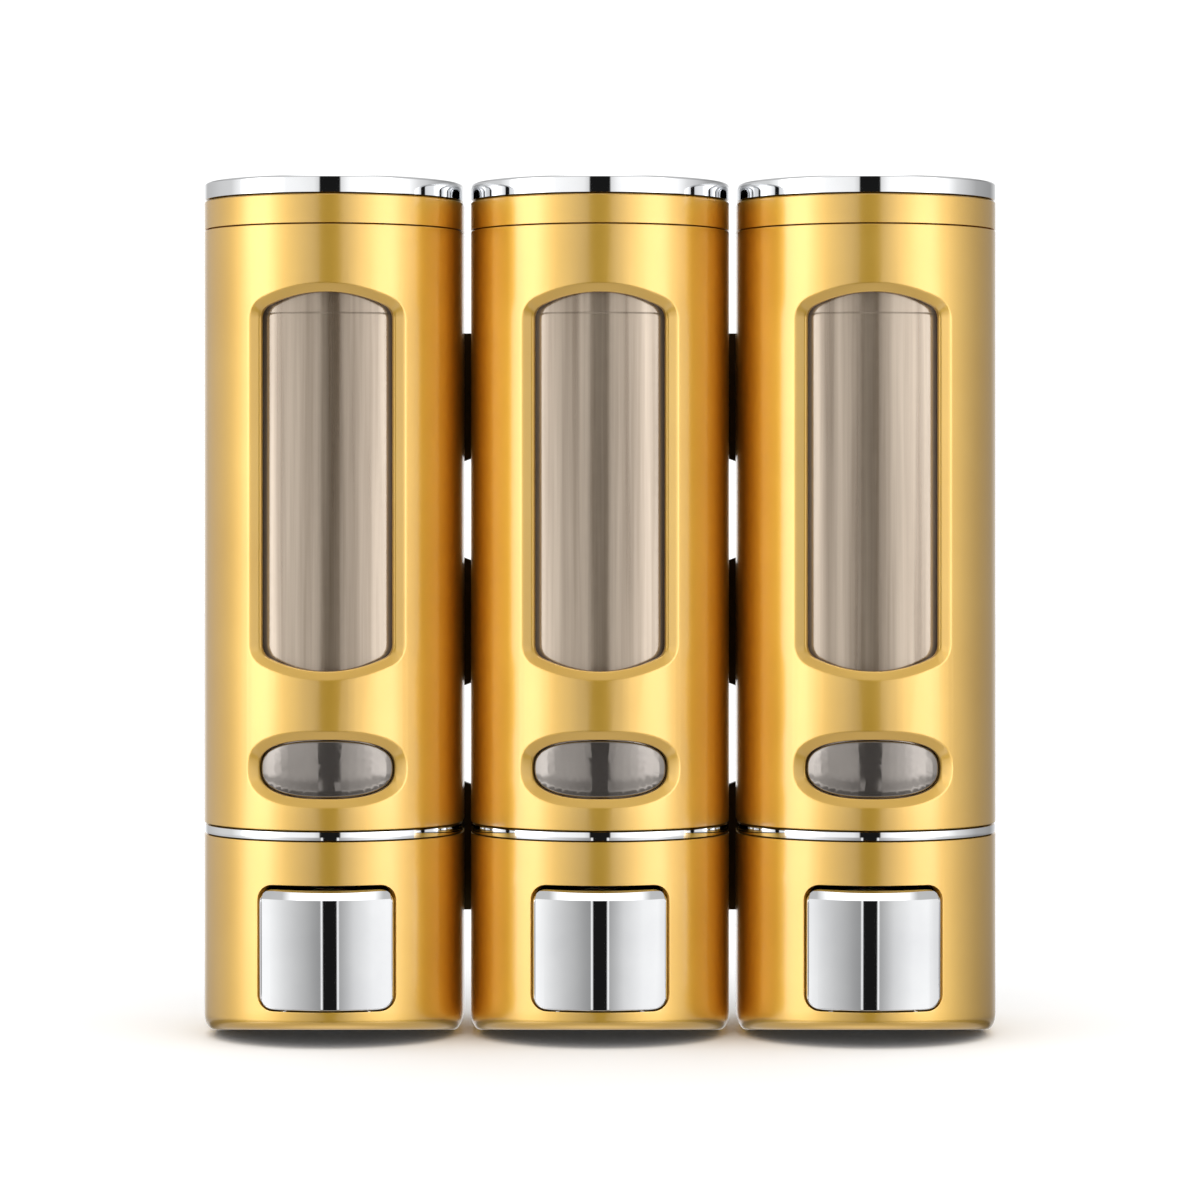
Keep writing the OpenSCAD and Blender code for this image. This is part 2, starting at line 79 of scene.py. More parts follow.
def pick(piece, kind, test):
    """opens a piece's mesh and selects its vertices, edges or faces by a test"""
    only(piece)
    bpy.ops.object.mode_set(mode="EDIT")
    bpy.ops.mesh.select_mode(type={"verts": "VERT", "edges": "EDGE", "faces": "FACE"}[kind])
    bpy.ops.mesh.select_all(action="DESELECT")
    mesh = bmesh.from_edit_mesh(piece.data)
    for part in getattr(mesh, kind):
        if test(part):
            part.select_set(True)
    mesh.select_flush_mode()
    bmesh.update_edit_mesh(piece.data)


def close():
    bpy.ops.object.mode_set(mode="OBJECT")


def modify(piece, kind, **settings):
    """adds a modifier with its settings and applies it"""
    only(piece)
    bpy.ops.object.modifier_add(type=kind)
    modifier = piece.modifiers[-1]
    for name, value in settings.items():
        setattr(modifier, name, value)
    bpy.ops.object.modifier_apply(modifier=modifier.name)


def block(name, low, high):
    """a box between two corners"""
    low, high = Vector(low), Vector(high)
    bpy.ops.object.select_all(action="DESELECT")
    bpy.ops.mesh.primitive_cube_add(size=1, location=(low + high) / 2, scale=high - low)
    bpy.ops.object.transform_apply(location=True, rotation=True, scale=True)
    bpy.context.object.name = name
    return bpy.context.object


def stack(name, rings, tube=False):
    """a solid through rings of points, each extruded from the last; a tube closes on its first ring"""
    bpy.ops.object.select_all(action="DESELECT")
    bpy.ops.mesh.primitive_circle_add(vertices=len(rings[0]), fill_type="NOTHING" if tube else "NGON")
    piece = bpy.context.object
    piece.name = name
    for vertex, point in zip(piece.data.vertices, rings[0]):
        vertex.co = point
    bpy.ops.object.mode_set(mode="EDIT")
    bpy.ops.mesh.select_mode(type="VERT")
    bpy.ops.mesh.select_all(action="SELECT")
    rings = rings + rings[:1] if tube else rings
    for last, ring in zip(rings, rings[1:]):
        bpy.ops.mesh.extrude_region()
        mesh = bmesh.from_edit_mesh(piece.data)
        for vertex in [v for v in mesh.verts if v.select]:
            nearest = min(range(len(last)), key=lambda i: (vertex.co - Vector(last[i])).length_squared)
            vertex.co = ring[nearest]
        bmesh.update_edit_mesh(piece.data)
    bpy.ops.mesh.select_all(action="SELECT")
    bpy.ops.mesh.remove_doubles(threshold=0.001)
    bpy.ops.mesh.normals_make_consistent(inside=False)
    close()
    return piece


def circle(radius, at, across="Z"):
    """a ring of points about a place, across one axis"""
    x, y, z = at
    turns = [2 * pi * i / FACETS for i in range(FACETS)]
    if across == "Z":
        return [(x + radius * cos(a), y + radius * sin(a), z) for a in turns]
    if across == "Y":
        return [(x + radius * cos(a), y, z + radius * sin(a)) for a in turns]
    return [(x, y + radius * cos(a), z + radius * sin(a)) for a in turns]


def cut(piece, cutter):
    """takes one closed shape out of a piece"""
    modify(piece, "BOOLEAN", operation="DIFFERENCE", object=cutter, solver="EXACT")
    bpy.data.objects.remove(cutter)


def join(piece, *others):
    only(piece)
    for other in others:
        other.select_set(True)
    bpy.ops.object.join()
    return piece


def smooth(piece, angle=30):
    """smooth shading up to an angle, with large faces leading the normals"""
    only(piece)
    bpy.ops.object.shade_smooth_by_angle(angle=radians(angle))
    modify(piece, "WEIGHTED_NORMAL", keep_sharp=True, weight=50)


def dress(piece, material):
    """gives a piece its one material"""
    piece.data.materials.clear()
    piece.data.materials.append(material)


def settle(piece, place, body, material, nodes):
    """puts a finished piece in its place in metres, on its body, for its CAD nodes"""
    piece.data.transform(Matrix.Scale(0.001, 4) @ Matrix.Translation(place))
    dress(piece, material)
    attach(piece, body)
    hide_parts(*nodes)


def colour(code):
    """linear colour of an sRGB hex code"""
    parts = [int(code[i:i + 2], 16) / 255 for i in (1, 3, 5)]
    return (*[p / 12.92 if p <= 0.04045 else ((p + 0.055) / 1.055) ** 2.4 for p in parts], 1)


def add_node(material, kind, inputs, **settings):
    """adds a node with its settings, and sets or links its inputs"""
    node = material.node_tree.nodes.new(kind)
    for name, value in settings.items():
        setattr(node, name, value)
    for name, value in inputs.items():
        if isinstance(value, bpy.types.NodeSocket):
            material.node_tree.links.new(value, node.inputs[name])
        else:
            node.inputs[name].default_value = value
    return node


def finish_material(name, low, high, grain, blotch, rough, bump, stretch=1, **shader):
    """a surface whose colour runs between two shades, with fine grain in its relief and its gloss

    grain and blotch are sizes in millimetres, rough is the lowest and highest roughness, bump the relief in
    millimetres, and stretch how many times taller than wide the blotches are.
    """
    material = bpy.data.materials.new(name)
    material.use_nodes = True
    material.node_tree.nodes.clear()
    place = add_node(material, "ShaderNodeTexCoord", {}).outputs["Object"]
    fine = add_node(material, "ShaderNodeTexNoise", {
        "Vector": place, "Scale": 1000 / grain, "Detail": 3.0, "Roughness": 0.6})
    drawn_out = add_node(material, "ShaderNodeMapping", {"Vector": place, "Scale": (1, 1, 1 / stretch)})
    broad = add_node(material, "ShaderNodeTexNoise", {
        "Vector": drawn_out.outputs["Vector"], "Scale": 1000 / blotch, "Detail": 4.0, "Roughness": 0.55})
    shade = add_node(material, "ShaderNodeValToRGB", {"Fac": broad.outputs["Fac"]})
    shade.color_ramp.elements[0].position, shade.color_ramp.elements[1].position = 0.3, 0.7
    shade.color_ramp.elements[0].color, shade.color_ramp.elements[1].color = colour(low), colour(high)
    gloss = add_node(material, "ShaderNodeMapRange", {
        "Value": fine.outputs["Fac"], "From Min": 0.3, "From Max": 0.7,
        "To Min": rough[0], "To Max": rough[1]})
    relief = add_node(material, "ShaderNodeBump", {
        "Height": fine.outputs["Fac"], "Strength": 1.0, "Distance": bump / 1000})
    surface = add_node(material, "ShaderNodeBsdfPrincipled", {
        "Base Color": shade.outputs["Color"], "Roughness": gloss.outputs["Result"],
        "Normal": relief.outputs["Normal"], **shader})
    add_node(material, "ShaderNodeOutputMaterial", {"Surface": surface.outputs["BSDF"]})
    return material


# Moulded ABS, nearly black with a brown cast, in a fine spark-eroded grain that keeps its gloss dull.
bracket_abs = finish_material(
    "black_brown_moulded_abs", "#160F07", "#20170C", grain=0.6, blotch=14, rough=(0.36, 0.52), bump=0.012,
    Metallic=0.0, IOR=1.53)

width, height = PITCH + SPINE_HALF, ROW_PITCH + TAB_HALF
bracket = block("moulded_bracket", (-width, -PLATE_T, -height), (width, 0, height))
for side in (-1, 1):
    for row in (-1, 1):
        near, far = TAB_HALF - TAB_STEP, TAB_HALF
        edge = [(SPINE_HALF, near), (SLANT_FROM, near), (SLANT_TO, far), (PITCH - SPINE_HALF, far)]
        gap = edge + [(x, ROW_PITCH - z) for x, z in reversed(edge)]
        cut(bracket, stack("gap", [[(side * x, y, row * z) for x, z in gap] for y in (-PLATE_T - 1, 1)]))
modify(bracket, "BEVEL", width=0.6, segments=3, limit_method="ANGLE", angle_limit=radians(40))
for x in (-PITCH, PITCH):
    for z in (-ROW_PITCH, ROW_PITCH):
        cut(bracket, stack("screw_hole", [
            circle(HOLE_R, (x, 1, z), "Y"), circle(HOLE_R, (x, -HOLE_NECK, z), "Y"),
            circle(HEAD_R, (x, -PLATE_T, z), "Y"), circle(HEAD_R + 0.2, (x, -PLATE_T - 0.2, z), "Y")]))
hooks = []
for x in (-PITCH, 0, PITCH):
    for z in (-HOOK_Z, HOOK_Z):
        left, right = x - HOOK_HALF, x + HOOK_HALF
        hooks += [
            block("hook_pad", (left, -5, z - HOOK_HALF), (right, -PLATE_T / 2, z + HOOK_HALF)),
            block("hook_arm", (left, -HOOK_REACH, z - HOOK_T), (right, -4, z + HOOK_T)),
            block("hook_tongue", (left, -HOOK_REACH, z - HOOK_T),
                  (right, 2 - HOOK_REACH, z + HOOK_HALF + HOOK_T)),
        ]
for hook in hooks:
    modify(hook, "BEVEL", width=0.4, segments=2, limit_method="ANGLE", angle_limit=radians(40))
join(bracket, *hooks)
smooth(bracket)
settle(bracket, (0, 0, 0), "mounted_body", bracket_abs, ["wall_bracket"])

# ---------------------------------------------------------------------------------------------
# Pump housings
# The lower shell of each unit, injection-moulded in ABS and sprayed in satin gold lacquer. It has
# a deck with a spigot for the casing, a well round the push button, and its lower edge rolls under.
# ---------------------------------------------------------------------------------------------
SIDES = {"left": -PITCH, "middle": 0.0, "right": PITCH}
AXIS_Y = -42.3
BASE_Z = -102.3
RADIUS = 32.7
RUN = 9.4
BACK = 37.3
CORNER = 4.0
WALL = 2.4
HOUSING_TOP = 50.1
DECK_LOW, DECK_TOP = 47.5, 50.0
SPIGOT_LOW, SPIGOT_TOP = 49.0, 56.1
POST_X, POST_Y = 18, 17
POST_LOW, POST_TOP = 6.3, 47.8
POST_R, SCREW_R = 3.4, 1.4
PORT_Y = 1.5
NECK_HOLE_R = 7.7
ROLL = 2.3
ROLL_H = 4.6
FRONT_RISE = 4.1
RISE_TO = 8.0
CUTOUT = (34.3, 31.1, 3.9)
CUTOUT_MID = 23.85
WELL_IN, WELL_BACK = 1.6, -19
GROOVE = 0.3


def corner_of(radius, back, corner):
    """centre and first angle of the small round that joins a rear arc to the flat back"""
    y = back - corner - RUN
    x = sqrt((radius - corner) ** 2 - y ** 2)
    return x, atan2(y, x)


def half_girth(radius=RADIUS, back=BACK, corner=CORNER):
    """lengths along half an outline, at the ends of its front arc, side, rear arc, corner and back"""
    x, turn = corner_of(radius, back, corner)
    front = pi / 2 * radius
    run = front + RUN
    rear = run + turn * radius
    turned = rear + (pi / 2 - turn) * corner
    return front, run, rear, turned, turned + x


def bend(s, t, radius=RADIUS, back=BACK, corner=CORNER):
    """the place at a length along a unit's outline from its front centre, and a depth into its wall"""
    side, s = (1, s) if s >= 0 else (-1, -s)
    front, run, rear, turned, _ = half_girth(radius, back, corner)
    x0, turn = corner_of(radius, back, corner)
    if s <= front:
        x, y = (radius - t) * sin(s / radius), -(radius - t) * cos(s / radius)
    elif s <= run:
        x, y = radius - t, s - front
    elif s <= rear:
        a = (s - run) / radius
        x, y = (radius - t) * cos(a), RUN + (radius - t) * sin(a)
    elif s <= turned:
        a = turn + (s - rear) / corner
        x, y = x0 + (corner - t) * cos(a), back - corner + (corner - t) * sin(a)
    else:
        x, y = x0 - (s - turned), back - t
    return side * x, y


def stations(radius=RADIUS, back=BACK, corner=CORNER):
    """lengths along half an outline at which its facets meet"""
    front, run, rear, turned, _ = half_girth(radius, back, corner)
    places = [front * i / 36 for i in range(37)] + [run]
    places += [run + (rear - run) * i / 14 for i in range(1, 15)]
    places += [rear + (turned - rear) * i / 5 for i in range(1, 6)]
    return places


def outline(t, z, radius=RADIUS, back=BACK, corner=CORNER):
    """a ring of points round a unit at a depth into its wall and a height"""
    places = stations(radius, back, corner)
    along = [-s for s in reversed(places[1:])] + places
    return [(*bend(s, t, radius, back, corner), z) for s in along]


def laid_out(x):
    """length along the front arc of a point at a distance from the middle plane"""
    return RADIUS * asin(x / RADIUS)


def rounded_box(w, h, r):
    """points of a box with round corners"""
    points, n = [], 8
    for quarter, (cx, cz) in enumerate([(1, 1), (-1, 1), (-1, -1), (1, -1)]):
        for i in range(n + 1):
            a = pi / 2 * (quarter + i / n)
            points.append((cx * (w / 2 - r) + r * cos(a), cz * (h / 2 - r) + r * sin(a)))
    return points


def open_ends(piece):
    """takes off the end faces of a flat shell, which meet at the back once it is bent round"""
    pick(piece, "faces", lambda f: (
        abs(f.normal.x) > 0.99 and abs(abs(f.calc_center_median().x) - girth_end) < 0.01))
    bpy.ops.mesh.delete(type="FACE")
    close()


def facet(piece, places, across=(1, 0, 0)):
    """cuts a piece's faces at places along one direction"""
    only(piece)
    bpy.ops.object.mode_set(mode="EDIT")
    for place in places:
        bpy.ops.mesh.select_all(action="SELECT")
        bpy.ops.mesh.bisect(plane_co=[c * place for c in across], plane_no=across)
    close()


def wrap(piece):
    """cuts a flat shell into narrow upright facets and bends it round a unit, closing it at the back"""
    open_ends(piece)
    places = stations()
    facet(piece, [-s for s in reversed(places[1:])] + places)
    for vertex in piece.data.vertices:
        vertex.co.x, vertex.co.y = bend(vertex.co.x, vertex.co.y)
    only(piece)
    bpy.ops.object.mode_set(mode="EDIT")
    bpy.ops.mesh.select_all(action="SELECT")
    bpy.ops.mesh.remove_doubles(threshold=0.002)
    bpy.ops.mesh.normals_make_consistent(inside=False)
    close()


def port(radius, z):
    """a ring about the upright axis that the liquid follows, from the bottle's neck to the nozzle"""
    return circle(radius, (0, PORT_Y, z))


def set_in_units(piece, body, material, node):
    """one copy of a piece for each unit, with its own mesh"""
    for side, x in SIDES.items():
        copy = piece.copy()
        copy.data = piece.data.copy()
        copy.name = f"{piece.name}_{side}"
        bpy.context.collection.objects.link(copy)
        settle(copy, (x, AXIS_Y, BASE_Z), body.format(side), material, [node.format(side)])
    bpy.data.objects.remove(piece)


# Sprayed metallic lacquer: fine aluminium flake in amber varnish under a satin top coat. It gives broad soft
# highlights that go cream where they are brightest and deep amber where they turn away.
gold_lacquer = finish_material(
    "satin_gold_metallic_lacquer", "#EBBA46", "#F1C251", grain=0.45, blotch=30, rough=(0.42, 0.46),
    bump=0.00015, Metallic=1.0, **{"Coat Weight": 1.0, "Coat Roughness": 0.16, "Coat IOR": 1.9})

girth_end = half_girth()[-1]
housing = block("gold_housing", (-girth_end, 0, 0), (girth_end, WALL, HOUSING_TOP))
cutout = rounded_box(*CUTOUT)
cut(housing, stack("cutout", [
    [(laid_out(x), t, CUTOUT_MID + z) for x, z in cutout] for t in (-1, WALL + 1)]))
pick(housing, "edges", lambda e: all(v.co.z < 0.01 and v.co.y < 0.01 for v in e.verts))
bpy.ops.mesh.bevel(offset=ROLL, segments=7, affect="EDGES", clamp_overlap=False)
close()
for vertex in housing.data.vertices:
    if vertex.co.z < ROLL + 0.001:
        vertex.co.z *= ROLL_H / ROLL
modify(housing, "BEVEL", width=GROOVE, segments=2, limit_method="ANGLE", angle_limit=radians(50))
facet(housing, [RISE_TO], (0, 0, 1))
wrap(housing)
for vertex in housing.data.vertices:
    if vertex.co.z < RISE_TO:
        rise = FRONT_RISE * max(0, -vertex.co.y) / RADIUS
        vertex.co.z += rise * (1 - vertex.co.z / RISE_TO)
deck = stack("deck", [outline(WALL / 2, DECK_LOW), outline(WALL / 2, DECK_TOP)])
cut(deck, stack("neck_hole", [port(NECK_HOLE_R, z) for z in (DECK_LOW - 1.5, DECK_TOP + 2)]))
spigot = stack("spigot", [outline(t, z) for t, z in (
    (2.6, SPIGOT_LOW), (2.6, SPIGOT_TOP), (4.2, SPIGOT_TOP), (4.2, SPIGOT_LOW))], tube=True)


def well_ring(extra, behind=None):
    """the cut-out's outline, on the housing's inner wall or on a plane behind it"""
    w, h, r = CUTOUT
    points = rounded_box(w + 2 * extra, h + 2 * extra, r + extra)
    inside = RADIUS - WELL_IN
    return [(x, -sqrt(inside ** 2 - x * x) if behind is None else behind, CUTOUT_MID + z) for x, z in points]


well = stack("well", [
    well_ring(0.05), well_ring(2), well_ring(2, WELL_BACK), well_ring(0.05, WELL_BACK)], tube=True)
posts = []
for x in (-POST_X, POST_X):
    posts.append(stack("post", [circle(r, (x, POST_Y, z)) for r, z in (
        (POST_R, POST_LOW), (POST_R, POST_TOP), (SCREW_R, POST_TOP), (SCREW_R, POST_LOW))], tube=True))
join(housing, deck, spigot, well, *posts)
smooth(housing, 28)
set_in_units(housing, "mounted_body", gold_lacquer, "pump_housing_{}")

# ---------------------------------------------------------------------------------------------
# Base covers and their screws
# A moulded black plate closes each housing from below, round the nozzle. Two pan-head screws of
# stainless steel with a cross recess hold it on the housing's posts.
# ---------------------------------------------------------------------------------------------
COVER_LOW, COVER_TOP = 4.2, 6.2
NOZZLE_HOLE_R = 6.4
THROUGH = (3, 7)

# Moulded ABS in a fine matt grain, pure black.
black_abs = finish_material(
    "black_moulded_abs", "#141414", "#1E1E1E", grain=0.5, blotch=12, rough=(0.4, 0.58), bump=0.012,
    Metallic=0.0, IOR=1.53)
# Stainless steel, turned and tumbled: bright with a slight haze.
bright_steel = finish_material(
    "tumbled_stainless_steel", "#B4B6BA", "#C8CACD", grain=0.25, blotch=3, rough=(0.22, 0.38), bump=0.002,
    Metallic=1.0)

cover = stack("base_plate", [outline(3.0, COVER_LOW), outline(2.6, COVER_LOW + 0.4), outline(2.6, COVER_TOP)])
cut(cover, stack("nozzle_hole", [port(NOZZLE_HOLE_R, z) for z in THROUGH]))
for x in (-POST_X, POST_X):
    cut(cover, stack("screw_hole", [circle(SCREW_R + 0.2, (x, POST_Y, z)) for z in THROUGH]))
smooth(cover)
set_in_units(cover, "mounted_body", black_abs, "base_cover_{}")

screws = []
for centre in SIDES.values():
    for x in (-POST_X, POST_X):
        px, py = centre + x, POST_Y + AXIS_Y
        screw = stack("screw", [circle(r, (px, py, z + BASE_Z)) for r, z in (
            (SCREW_R, 15.3), (SCREW_R, COVER_LOW), (2.8, COVER_LOW), (2.8, 3.5), (2.5, 2.8), (1.9, 2.45),
            (0.9, 2.4))])
        for w, d in ((1.7, 0.45), (0.45, 1.7)):
            cut(screw, block("recess", (px - w, py - d, 1.8 + BASE_Z), (px + w, py + d, 3.3 + BASE_Z)))
        screws.append(screw)
join(screws[0], *screws[1:])
screws[0].name = "base_pan_screws"
smooth(screws[0])
settle(screws[0], (0, 0, 0), "mounted_body", bright_steel, ["base_screws"])

# ---------------------------------------------------------------------------------------------
# Pumps
# The barrel, its cap and the union nut are moulded in natural polypropylene, the plunger in acetal, which is
# drawn with the same polypropylene finish.
# The rings and washers are black rubber, the valve and the nozzle soft silicone.
# ---------------------------------------------------------------------------------------------
# Natural polypropylene, milky white with a waxy gloss.
white_pp = finish_material(
    "natural_moulded_polypropylene", "#E4E2DA", "#EFEDE6", grain=0.8, blotch=10, rough=(0.32, 0.46),
    bump=0.004, Metallic=0.0, IOR=1.49, **{"Subsurface Weight": 0.15, "Subsurface Scale": 0.001})
# Vulcanised rubber, matt black with a dusty bloom.
black_rubber = finish_material(
    "black_vulcanised_rubber", "#121212", "#1F1F1F", grain=0.4, blotch=5, rough=(0.6, 0.8), bump=0.008,
    Metallic=0.0, IOR=1.52)
# Grey silicone, soft satin, slightly translucent.
grey_silicone = finish_material(
    "grey_moulded_silicone", "#5E6063", "#6C6E71", grain=0.6, blotch=6, rough=(0.42, 0.56), bump=0.004,
    Metallic=0.0, IOR=1.43)
# Clear silicone, milky and soft.
clear_silicone = finish_material(
    "clear_moulded_silicone", "#D9DCDD", "#E6E8E8", grain=0.6, blotch=6, rough=(0.3, 0.42), bump=0.004,
    Metallic=0.0, IOR=1.43, **{"Transmission Weight": 0.5})

dress(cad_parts["union_nuts"], white_pp)
dress(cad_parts["neck_gaskets"], black_rubber)
for side in SIDES:
    for name, material in (
            ("pump_barrel", white_pp), ("barrel_cap", white_pp), ("plunger", white_pp),
            ("plunger_seal", black_rubber), ("inlet_valve", clear_silicone), ("lid_seal", grey_silicone),
            ("button_pin", bright_steel)):
        dress(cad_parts[f"{name}_{side}"], material)

nozzle = stack("soft_nozzle", [port(r, z) for r, z in (
    (1.1, 5.0), (1.1, 1.3), (1.4, 1.0), (2.2, 1.0), (2.8, 1.4), (5.9, 3.8), (6.2, 4.3), (6.2, 8.8), (5.9, 9.2),
    (4.5, 9.2), (4.5, 5.0))], tube=True)
smooth(nozzle, 40)
set_in_units(nozzle, "mounted_body", grey_silicone, "nozzle_{}")

# ---------------------------------------------------------------------------------------------
# Return springs
# Four turns of stainless wire between the plunger's head and the barrel's cap. On the real pump they
# close up as the button is pushed; here each coil is drawn at rest and fixed to the mounted body.
# ---------------------------------------------------------------------------------------------
PUMP_Z = 29.0
SPRING_FRONT, SPRING_BACK = -21.6, -14.0
WIRE = 0.8
COIL_R = 3.6
TURNS, TURN_STEPS = 4, 24

# Drawn stainless wire, bright with fine draw lines.
spring_steel = finish_material(
    "drawn_stainless_wire", "#A9ABAE", "#C2C4C7", grain=0.2, blotch=2, rough=(0.18, 0.3), bump=0.0015,
    Metallic=1.0)

for side, x in SIDES.items():
    path = bpy.data.curves.new(f"coil_spring_{side}", "CURVE")
    path.dimensions = "3D"
    path.bevel_depth = WIRE / 2000
    path.bevel_resolution = 2
    path.use_fill_caps = True
    line = path.splines.new("POLY")
    steps = TURNS * TURN_STEPS
    line.points.add(steps)
    for i, point in enumerate(line.points):
        a = 2 * pi * i / TURN_STEPS
        along = min(max((i - TURN_STEPS / 2) / (steps - TURN_STEPS), 0), 1)
        y = SPRING_FRONT + WIRE / 2 + (SPRING_BACK - SPRING_FRONT - WIRE) * along
        point.co = ((x + COIL_R * cos(a)) / 1000, (y + AXIS_Y) / 1000,
                    (PUMP_Z + BASE_Z + COIL_R * sin(a)) / 1000, 1)
    coil = bpy.data.objects.new(f"coil_spring_{side}", path)
    bpy.context.collection.objects.link(coil)
    only(coil)
    bpy.ops.object.convert(target="MESH")
    coil = bpy.context.object
    dress(coil, spring_steel)
    bpy.ops.object.shade_smooth()
    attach(coil, "mounted_body")
    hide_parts(f"return_spring_{side}")
    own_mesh(coil)

# ---------------------------------------------------------------------------------------------
# Push buttons
# A curved cap of chrome-plated ABS with round corners and a sloped top edge. Its skirt swings on
# a steel pin near its lower edge, and a domed striker inside it pushes the plunger.
# ---------------------------------------------------------------------------------------------
BUTTON_W, BUTTON_LOW, BUTTON_TOP = 33.1, 8.9, 38.4
BUTTON_R = 33.1
BUTTON_BACK = -22.8
BUTTON_CORNER = 3.3
SLOPE = 2.2
PIN_Y, PIN_Z = -24.0, 11.4
HUB_X, HUB_HALF, HUB_R, HUB_BORE = 12.95, 2, 2.5, 1.55
STRIKER_R, STRIKER_FRONT, STRIKER_BACK = 3.5, -32.0, -27.4
LEAN = 2

# Decorative chrome plate on ABS: a cold mirror with the slight waviness of the moulding under it.
chrome_plate = finish_material(
    "bright_chrome_plate", "#E6E7E9", "#F0F1F2", grain=8, blotch=24, rough=(0.02, 0.045), bump=0.001,
    Metallic=1.0)

button = block(
    "chrome_button", (-BUTTON_W / 2, -BUTTON_R - 0.5, BUTTON_LOW), (BUTTON_W / 2, BUTTON_BACK, BUTTON_TOP))
pick(button, "edges", lambda e: abs((e.verts[0].co - e.verts[1].co).y) > 5)
bpy.ops.mesh.bevel(offset=BUTTON_CORNER, segments=8, affect="EDGES")
close()
facet(button, [BUTTON_TOP - SLOPE], (0, 0, 1))
facet(button, [i * 1.15 for i in range(-14, 15)])
for vertex in button.data.vertices:
    if vertex.co.y < -BUTTON_R:
        slope = max(0, vertex.co.z - (BUTTON_TOP - SLOPE))
        vertex.co.y = -sqrt(BUTTON_R ** 2 - vertex.co.x ** 2) + slope
pick(button, "faces", lambda f: f.normal.y > 0.9 and f.calc_center_median().y > BUTTON_BACK - 0.1)
bpy.ops.mesh.delete(type="FACE")
close()
modify(button, "BEVEL", width=0.45, segments=3, limit_method="ANGLE", angle_limit=radians(50),
       use_clamp_overlap=False)
modify(button, "SOLIDIFY", thickness=1.6, offset=-1, use_even_offset=True)
lean = Matrix.Translation((0, PIN_Y, PIN_Z)) @ Matrix.Rotation(radians(LEAN), 4, "X") @ \
    Matrix.Translation((0, -PIN_Y, -PIN_Z))
button.data.transform(lean)
hubs = []
for x in (-HUB_X, HUB_X):
    hubs.append(stack("hub", [circle(r, (x + end, PIN_Y, PIN_Z), "X") for r, end in (
        (HUB_R, -HUB_HALF), (HUB_R, HUB_HALF), (HUB_BORE, HUB_HALF), (HUB_BORE, -HUB_HALF))], tube=True))
dome = [(STRIKER_R * cos(radians(a)), STRIKER_BACK + STRIKER_R * sin(radians(a)))
        for a in (0, 18, 36, 54, 72, 86)]
striker = stack("striker", [
    circle(r, (0, y, PUMP_Z), "Y") for r, y in [(STRIKER_R, STRIKER_FRONT)] + dome])
join(button, striker, *hubs)
smooth(button, 30)
set_in_units(button, "push_button_{}", chrome_plate, "button_{}")

# ---------------------------------------------------------------------------------------------
# Trim bands
# A chrome-plated ring of ABS that sits on the housing's spigot, under the casing. Its edges slope
# back, so a fine dark groove shows above and below it.
# ---------------------------------------------------------------------------------------------
BAND_TOP = 52.9
EASE = 0.3
GROOVE_H = 0.4
GROOVE_IN = 1.3

band = stack("chrome_band", [
    outline(WALL, HOUSING_TOP), outline(GROOVE_IN, HOUSING_TOP), outline(0.15, HOUSING_TOP + GROOVE_H),
    outline(0.08, HOUSING_TOP + 1.4), outline(0.15, BAND_TOP - GROOVE_H), outline(GROOVE_IN, BAND_TOP),
    outline(WALL, BAND_TOP)], tube=True)
smooth(band, 35)
set_in_units(band, "mounted_body", chrome_plate, "trim_band_{}")

# ---------------------------------------------------------------------------------------------
# Casings
# The tall upper shell of each unit, moulded in ABS and sprayed like the housing. Each window has a
# sloped border cut into the wall, and the back has two slots that drop over the bracket's hooks.
# ---------------------------------------------------------------------------------------------
CASING_TOP = 202.1
WINDOW = (34.3, 93.4, 37.0, 3.5)
WINDOW_MID = 138.7
SIGHT = (35.0, 14.5)
SIGHT_MID = 67.9
BORDER = 2.2
BORDER_DEPTH = 1.2
OVERRUN = 0.25
SLOT_HALF, SLOT_DROP = 7.5, 9.8


def arched_box(w, h, arch, r):
    """points of a tall window with arched ends and small round corners"""
    x0, z0 = w / 2 - r, h / 2 - arch
    z1 = z0 + sqrt((arch - r) ** 2 - x0 ** 2)
    turn = asin(x0 / (arch - r))
    right = [(x0 + r * cos(a), z1 + r * sin(a)) for a in [(pi / 2 - turn) * i / 7 for i in range(8)]]
    top = [(arch * cos(a), z0 + arch * sin(a)) for a in [pi / 2 - turn + turn * i / 9 for i in range(1, 10)]]
    quarter = right + top
    upper = quarter + [(-x, z) for x, z in reversed(quarter[:-1])]
    return upper + [(-x, -z) for x, z in upper]


def flat_oval(w, h):
    """points of a long oval with flat middles"""
    def flattened(half, share):
        return half * abs(share) ** 0.75 * (1 if share > 0 else -1)

    turns = [2 * pi * i / 72 for i in range(72)]
    return [(flattened(w / 2, cos(a)), flattened(h / 2, sin(a))) for a in turns]


def window_cutter(shape, middle):
    """a shape's opening through the wall, with a border that slopes down to it from just outside the wall"""
    wide, narrow = shape(BORDER * (1 + OVERRUN)), shape(0)
    rings = [(wide, -BORDER_DEPTH * OVERRUN), (narrow, BORDER_DEPTH), (narrow, WALL + 1)]
    return stack("window", [[(laid_out(x), t, middle + z) for x, z in points] for points, t in rings])


